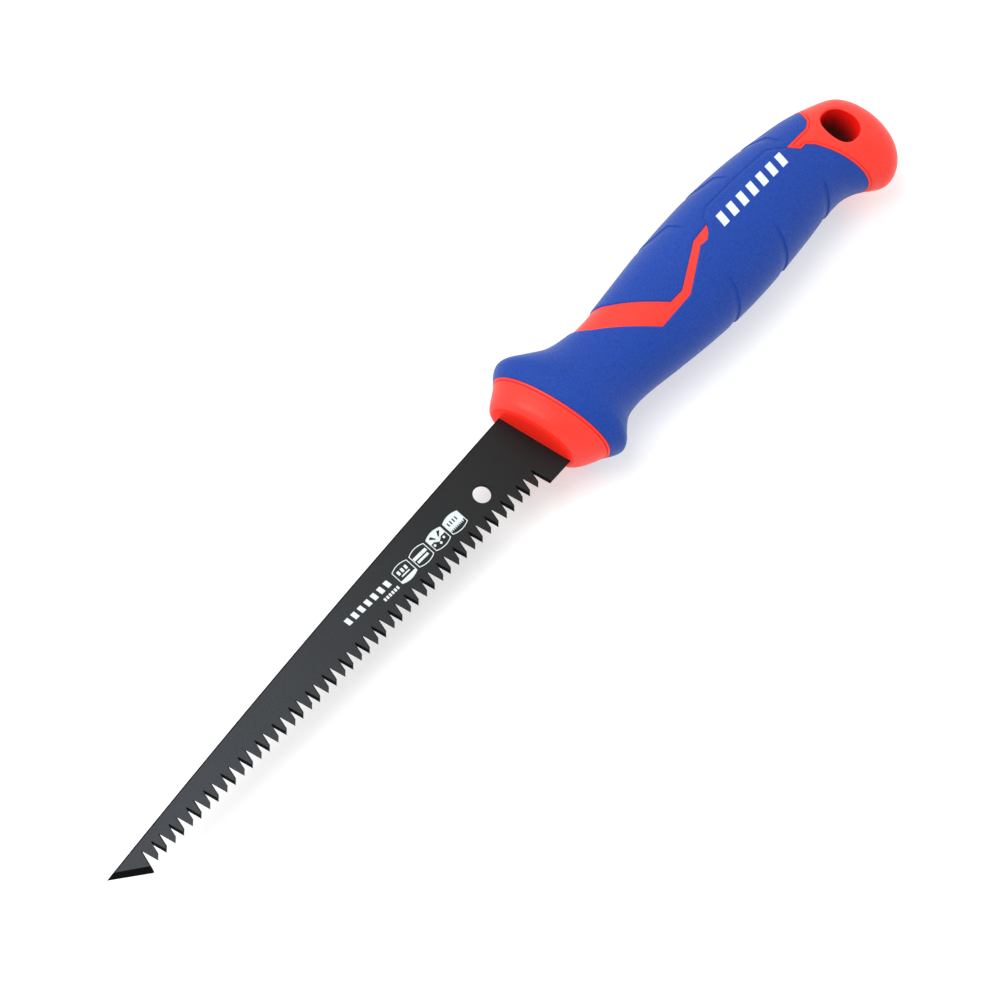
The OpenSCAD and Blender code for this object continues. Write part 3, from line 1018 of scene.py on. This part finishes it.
def finish(name, colours, roughness, grain, bump, specular, speckle=0.1):
    """A moulded or coated surface: two close colours in slow patches, and a fine grain."""
    material = bpy.data.materials.new(name)
    material.use_nodes = True
    tree = material.node_tree
    shader = tree.nodes["Principled BSDF"]
    shader.inputs["Specular IOR Level"].default_value = specular
    where = tree.nodes.new("ShaderNodeTexCoord").outputs["Object"]
    patches = noise(tree, PATCHES, 3)
    fine = noise(tree, grain, 4)
    mix = tree.nodes.new("ShaderNodeMixRGB")
    mix.inputs["Color1"].default_value = (*colours[0], 1)
    mix.inputs["Color2"].default_value = (*colours[1], 1)
    specks = map_range(tree, (0.3, 0.7), (1 - speckle, 1 + speckle))
    tint = vector_math(tree, "SCALE")
    rough = map_range(tree, (0, 1), roughness)
    relief = tree.nodes.new("ShaderNodeBump")
    relief.inputs["Strength"].default_value = bump
    relief.inputs["Distance"].default_value = GRAIN_DEPTH
    for start, end in (
            (where, patches.inputs["Vector"]),
            (where, fine.inputs["Vector"]),
            (patches.outputs["Fac"], mix.inputs["Fac"]),
            (fine.outputs["Fac"], rough.inputs["Value"]),
            (fine.outputs["Fac"], relief.inputs["Height"]),
            (fine.outputs["Fac"], specks.inputs["Value"]),
            (mix.outputs["Color"], tint.inputs["Vector"]),
            (specks.outputs["Result"], tint.inputs["Scale"]),
            (tint.outputs["Vector"], shader.inputs["Base Color"]),
            (rough.outputs["Result"], shader.inputs["Roughness"]),
            (relief.outputs["Normal"], shader.inputs["Normal"])):
        tree.links.new(start, end)
    return material


def fade(material, axis, full, faded, share):
    """Paints shade into a material: makes its colour fall off along an axis, from one coordinate to
    another.
    """
    tree = material.node_tree
    shader = tree.nodes["Principled BSDF"]
    colour = shader.inputs["Base Color"].links[0].from_socket
    where = tree.nodes.new("ShaderNodeTexCoord")
    split = tree.nodes.new("ShaderNodeSeparateXYZ")
    level = map_range(tree, (full, faded), (1, share), smooth=True)
    scale = vector_math(tree, "SCALE")
    tree.links.new(where.outputs["Object"], split.inputs["Vector"])
    tree.links.new(split.outputs[axis], level.inputs["Value"])
    tree.links.new(colour, scale.inputs["Vector"])
    tree.links.new(level.outputs["Result"], scale.inputs["Scale"])
    tree.links.new(scale.outputs["Vector"], shader.inputs["Base Color"])


def wear(piece, *materials):
    piece.data.materials.clear()
    for material in materials:
        piece.data.materials.append(material)


def dress_sleeve(sleeve):
    """Matt rubber with a soft sheen."""
    blue = finish("soft_blue", [(0.008, 0.044, 0.285), (0.010, 0.050, 0.31)],
                  roughness=(0.50, 0.62), grain=SOFT_GRAIN, bump=0.8, specular=0.14, speckle=0.25)
    shader = blue.node_tree.nodes["Principled BSDF"]
    shader.inputs["Sheen Weight"].default_value = 0.20
    shader.inputs["Sheen Roughness"].default_value = 0.4
    shader.inputs["Sheen Tint"].default_value = (0.85, 1.0, 0.80, 1)
    wear(sleeve, blue)


def dress_body(body):
    """Satin red, with a deeper red painted on the collar's face as painted shade, and painted shade that
    darkens the hang hole's wall with depth.
    """
    red = finish("hard_red", [(0.82, 0.034, 0.022), (0.86, 0.041, 0.026)],
                 roughness=(0.36, 0.46), grain=HARD_GRAIN, bump=0.2, specular=0.24)
    # painted shade: the hang hole's wall gets a deeper red that darkens with depth
    hole_red = finish("hole_red", [(0.86, 0.010, 0.006), (0.90, 0.012, 0.007)],
                      roughness=(0.50, 0.60), grain=HARD_GRAIN, bump=0.2, specular=0.02)
    fade(hole_red, "Z", ORIGIN.z + HOLE_SHADE_TOP * MM, ORIGIN.z + HOLE_SHADE_BOTTOM * MM, HOLE_SHADE_SHARE)
    # painted shade: the collar's face gets a deeper, more saturated red than the rest of the body
    face_red = finish("face_red", [(0.92, 0.020, 0.010), (0.95, 0.023, 0.012)],
                      roughness=(0.42, 0.52), grain=HARD_GRAIN, bump=0.2, specular=0.10)
    wear(body, red, face_red, hole_red)
    # faces on the collar's face and in the hang hole take the painted shade materials
    centres = np.array([working(face.center) for face in body.data.polygons])
    on_face = centres[:, 0] - GUARD_RAKE * (centres[:, 1] - AXIS_Y) < FACE_EDGE
    in_hole = inside(hole_outline(0.02), centres)
    numbers = np.where(in_hole, 2, on_face).astype(np.int32)
    body.data.polygons.foreach_set("material_index", numbers)


def dress_blade(steel):
    """A dark coating on the flat faces, darkened towards the collar by painted shade, and every ground
    edge and bevel near-black, a painted shade for their dark reflections.
    """
    coated = finish("coated_steel", [(0.023, 0.028, 0.033), (0.030, 0.034, 0.041)],
                    roughness=(0.36, 0.44), grain=STEEL_GRAIN, bump=0.4, specular=0.27, speckle=0.3)
    # painted shade: the coating's colour is darkened towards the collar
    fade(coated, "X", ORIGIN.x + PAINTED_SHADE_FROM * MM, ORIGIN.x, PAINTED_SHADE_SHARE)
    # painted shade: every edge and bevel is near-black with almost no gloss, standing in for their dark
    # reflections
    ground = finish("ground_steel", [(0.002, 0.002, 0.002), (0.003, 0.003, 0.003)],
                    roughness=(0.30, 0.40), grain=STEEL_GRAIN, bump=0.15, specular=0.06)
    wear(steel, coated, ground)
    for face in steel.data.polygons:
        face.material_index = 0 if abs(face.normal.z) > 0.999 else 1


def dress_print():
    ink = finish("white_ink", [(0.60, 0.66, 0.67), (0.64, 0.69, 0.70)],
                 roughness=(0.45, 0.55), grain=STEEL_GRAIN, bump=0.1, specular=0.3)
    for piece in bpy.context.scene.objects:
        if "print" in piece.name or "badge" in piece.name:
            wear(piece, ink)


sleeve = grip_sleeve()
body = handle_body()
steel = blade()
blade_print()
handle_print()
dress_sleeve(sleeve)
dress_body(body)
dress_blade(steel)
dress_print()


# ---- Stage, light and camera

FLOOR_SIZE = 6.0
FLOOR_GLOW = 0.42            # the floor is a light table
TENT_OPENING = (-0.37, -0.17, 0.91)      # its direction
TENT_WALL_FROM, TENT_OPEN_TO = 52, 14    # degrees from the opening
TENT_WALL_LIGHT, TENT_OPENING_LIGHT = 1.2, 0.35
KEY_AT, KEY_SIZE, KEY_POWER = (-0.55, 0.75, 1.7), 1.3, 27
CAMERA_AT = Vector((-0.3652, -0.1731, 0.9059))
CAMERA_RIGHT = Vector((0.6652, -0.7352, 0.1301))
CAMERA_UP = Vector((0.6501, 0.6560, 0.3835))
LENS, SENSOR = 131, 36


def stage():
    """A plain pale floor."""
    mesh = bpy.data.meshes.new("floor")
    h = FLOOR_SIZE / 2
    mesh.from_pydata([(-h, -h, 0), (h, -h, 0), (h, h, 0), (-h, h, 0)], [], [(0, 1, 2, 3)])
    floor = bpy.data.objects.new("floor", mesh)
    bpy.context.scene.collection.objects.link(floor)
    paper = finish("paper", [(0.62, 0.62, 0.62), (0.63, 0.63, 0.63)],
                   roughness=(0.8, 0.9), grain=PAPER_GRAIN, bump=0.0, specular=0.1, speckle=0.0)
    shader = paper.node_tree.nodes["Principled BSDF"]
    shader.inputs["Emission Color"].default_value = (1, 1, 1, 1)
    shader.inputs["Emission Strength"].default_value = FLOOR_GLOW
    wear(floor, paper)


def key_light():
    """A square lamp that points at the saw."""
    data = bpy.data.lights.new("key", "AREA")
    data.shape, data.size = "SQUARE", KEY_SIZE
    data.energy = KEY_POWER
    light = bpy.data.objects.new("key", data)
    bpy.context.scene.collection.objects.link(light)
    light.location = KEY_AT
    light.rotation_euler = (-Vector(KEY_AT)).to_track_quat("-Z", "Y").to_euler()


def studio():
    """A white tent that is darker round its opening, and one soft lamp."""
    world = bpy.data.worlds.new("tent")
    world.use_nodes = True
    tree = world.node_tree
    way = tree.nodes.new("ShaderNodeTexCoord")
    facing = vector_math(tree, "DOT_PRODUCT")
    facing.inputs[1].default_value = TENT_OPENING
    edges = [math.cos(math.radians(angle)) for angle in (TENT_WALL_FROM, TENT_OPEN_TO)]
    level = map_range(tree, edges, (TENT_WALL_LIGHT, TENT_OPENING_LIGHT), smooth=True)
    background = tree.nodes["Background"]
    background.inputs["Color"].default_value = (1, 1, 1, 1)
    tree.links.new(way.outputs["Generated"], facing.inputs[0])
    tree.links.new(facing.outputs["Value"], level.inputs["Value"])
    tree.links.new(level.outputs["Result"], background.inputs["Strength"])
    bpy.context.scene.world = world
    key_light()


def camera():
    """The photograph's viewing angle."""
    data = bpy.data.cameras.new("camera")
    data.lens, data.sensor_width = LENS, SENSOR
    data.clip_start, data.clip_end = 0.01, 20
    made = bpy.data.objects.new("camera", data)
    bpy.context.scene.collection.objects.link(made)
    back = CAMERA_RIGHT.cross(CAMERA_UP).normalized()
    turn = Matrix((CAMERA_RIGHT, CAMERA_UP, back)).transposed()
    made.matrix_world = Matrix.Translation(CAMERA_AT) @ turn.to_4x4()
    bpy.context.scene.camera = made


stage()
studio()
camera()
bpy.context.scene.view_settings.view_transform = "Standard"
